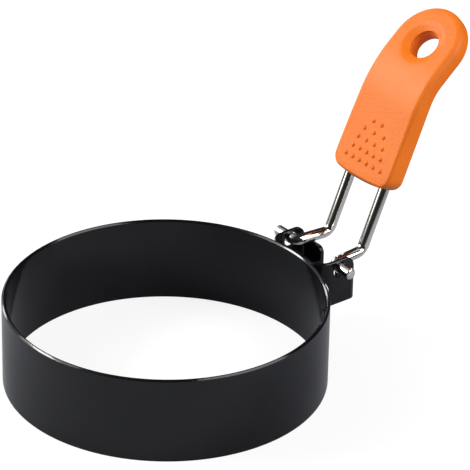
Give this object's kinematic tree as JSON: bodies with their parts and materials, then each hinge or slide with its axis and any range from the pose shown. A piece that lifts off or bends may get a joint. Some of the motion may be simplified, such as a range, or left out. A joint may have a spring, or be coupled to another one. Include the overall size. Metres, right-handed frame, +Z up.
{
  "type": "egg and omelette ring",
  "caption": "Round steel ring mould for eggs and omelettes, open at top and bottom, with a folding wire handle in a soft hang-hole grip.",
  "frame": {"origin": "centre of the ring at its base, on the surface that it stands on", "axes": "+Z up along the ring's axis, +X from the ring's centre towards the handle, hinge axis along Y"},
  "size_m": [0.1469, 0.09, 0.0839],
  "materials": {
    "nonstick_coating": "satin black coating",
    "polished_wire": "polished",
    "orange_silicone": "fine matte texture"
  },
  "bodies": {
    "ring": {"ring_band": "nonstick_coating", "hinge_bracket": "nonstick_coating"},
    "handle": {"wire_handle": "polished_wire", "silicone_grip": "orange_silicone"}
  },
  "joints": [
    {"name": "handle_fold", "type": "hinge", "parent": "ring", "child": "handle", "pos_m": [0.0524, 0, 0.0218], "axis": [0, -1, 0], "range_deg": [0, 142.5]}
  ]
}
